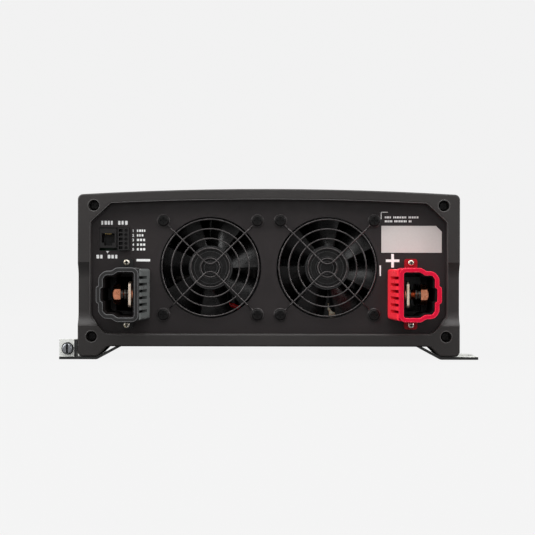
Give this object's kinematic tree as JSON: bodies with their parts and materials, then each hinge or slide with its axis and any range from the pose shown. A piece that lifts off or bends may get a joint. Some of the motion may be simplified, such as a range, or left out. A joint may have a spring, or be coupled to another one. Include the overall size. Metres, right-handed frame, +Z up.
{
  "type": "power inverter",
  "caption": "Box-shaped DC to AC power inverter: finned case between moulded end bezels, guarded fans, hooded battery terminals, remote sockets, outlets, breaker, mounting feet.",
  "frame": {"origin": "on the surface the feet stand on, under the middle of the whole object", "axes": "+X to the right seen from the DC end, +Y from the DC end to the AC end, +Z up"},
  "size_m": [0.317, 0.462, 0.129],
  "materials": {
    "bezel_plastic": "fine moulded grain",
    "panel_paint": "fine matt powder coat",
    "shell_paint": "satin black on an aluminium extrusion",
    "base_zinc": "plain sheet",
    "foot_zinc": "bright plated sheet",
    "screw_black": "black oxide",
    "screw_steel": "bright zinc",
    "grey_plastic": "moulded",
    "red_plastic": "moulded",
    "copper": "bare copper",
    "fan_plastic": "glass-filled, satin",
    "winding_copper": "enamelled",
    "rotor_plastic": "satin",
    "guard_wire": "black plated wire",
    "lead_red": "vinyl",
    "lead_black": "vinyl",
    "socket_plastic": "moulded",
    "contact_gold": "gold flash",
    "board_green": "solder mask",
    "label_film": "printed film, left blank",
    "outlet_plastic": "moulded",
    "switch_plastic": "moulded",
    "lever_plastic": "moulded",
    "button_plastic": "moulded",
    "lamp_lens": "translucent lens",
    "ferrite": "sintered",
    "coil_tape": "dark polyester tape",
    "can_sleeve": "black shrink sleeve",
    "sink_aluminium": "as extruded",
    "transistor_epoxy": "moulded"
  },
  "bodies": {
    "case": {"dc_end_bezel": "bezel_plastic", "ac_end_bezel": "bezel_plastic", "dc_end_panel": "panel_paint", "ac_end_panel": "panel_paint", "case_shell": "shell_paint", "base_plate": "base_zinc", "dc_foot_left": "foot_zinc", "dc_foot_right": "foot_zinc", "ac_foot_left": "foot_zinc", "ac_foot_right": "foot_zinc", "dc_bezel_screws": "screw_black", "ac_bezel_screws": "screw_black", "base_screws": "screw_steel", "foot_screws": "screw_steel", "foot_nuts": "screw_steel", "earth_screw": "screw_steel", "earth_washer": "screw_black", "negative_terminal_cover": "grey_plastic", "positive_terminal_cover": "red_plastic", "negative_bus_bar": "copper", "positive_bus_bar": "copper", "negative_terminal_stud": "copper", "positive_terminal_stud": "copper", "terminal_washers": "screw_steel", "terminal_nuts": "copper", "cover_screws": "screw_steel", "fan_frame_left": "fan_plastic", "fan_frame_right": "fan_plastic", "fan_stator_left": "winding_copper", "fan_stator_right": "winding_copper", "finger_guard_left": "guard_wire", "finger_guard_right": "guard_wire", "fan_screws": "screw_black", "fan_nuts": "screw_steel", "fan_leads_red": "lead_red", "fan_leads_black": "lead_black", "remote_jack": "socket_plastic", "jack_contacts": "contact_gold", "terminal_strip": "socket_plastic", "terminal_strip_screws": "screw_black", "socket_board": "board_green", "spec_label": "label_film", "ac_outlet_left": "outlet_plastic", "ac_outlet_right": "outlet_plastic", "breaker_body": "switch_plastic", "power_switch_frame": "switch_plastic", "status_lamps": "lamp_lens", "main_board": "board_green", "board_standoffs": "screw_steel", "transformer_cores": "ferrite", "transformer_windings": "coil_tape", "capacitors": "can_sleeve", "heatsinks": "sink_aluminium", "power_transistors": "transistor_epoxy", "output_inductors": "winding_copper"},
    "fan_left": {"fan_rotor_left": "rotor_plastic"},
    "fan_right": {"fan_rotor_right": "rotor_plastic"},
    "lever": {"breaker_lever": "lever_plastic"},
    "test_button": {"breaker_test_button": "button_plastic"},
    "rocker": {"power_rocker": "switch_plastic"}
  },
  "joints": [
    {"name": "fan_left_spin", "type": "hinge", "parent": "case", "child": "fan_left", "pos_m": [-0.0445, -0.18, 0.0694], "axis": [0, 1, 0], "continuous": true},
    {"name": "fan_right_spin", "type": "hinge", "parent": "case", "child": "fan_right", "pos_m": [0.0445, -0.18, 0.0694], "axis": [0, 1, 0], "continuous": true},
    {"name": "breaker_lever_hinge", "type": "hinge", "parent": "case", "child": "lever", "pos_m": [-0.012, 0.22, 0.079], "axis": [1, 0, 0], "range_deg": [-44, 0]},
    {"name": "test_button_press", "type": "slide", "parent": "case", "child": "test_button", "axis": [0, -1, 0], "range_m": [0, 0.0015], "stiffness_N_per_m": 400},
    {"name": "power_rocker_hinge", "type": "hinge", "parent": "case", "child": "rocker", "pos_m": [0.105, 0.218, 0.096], "axis": [1, 0, 0], "range_deg": [-12, 12]}
  ]
}
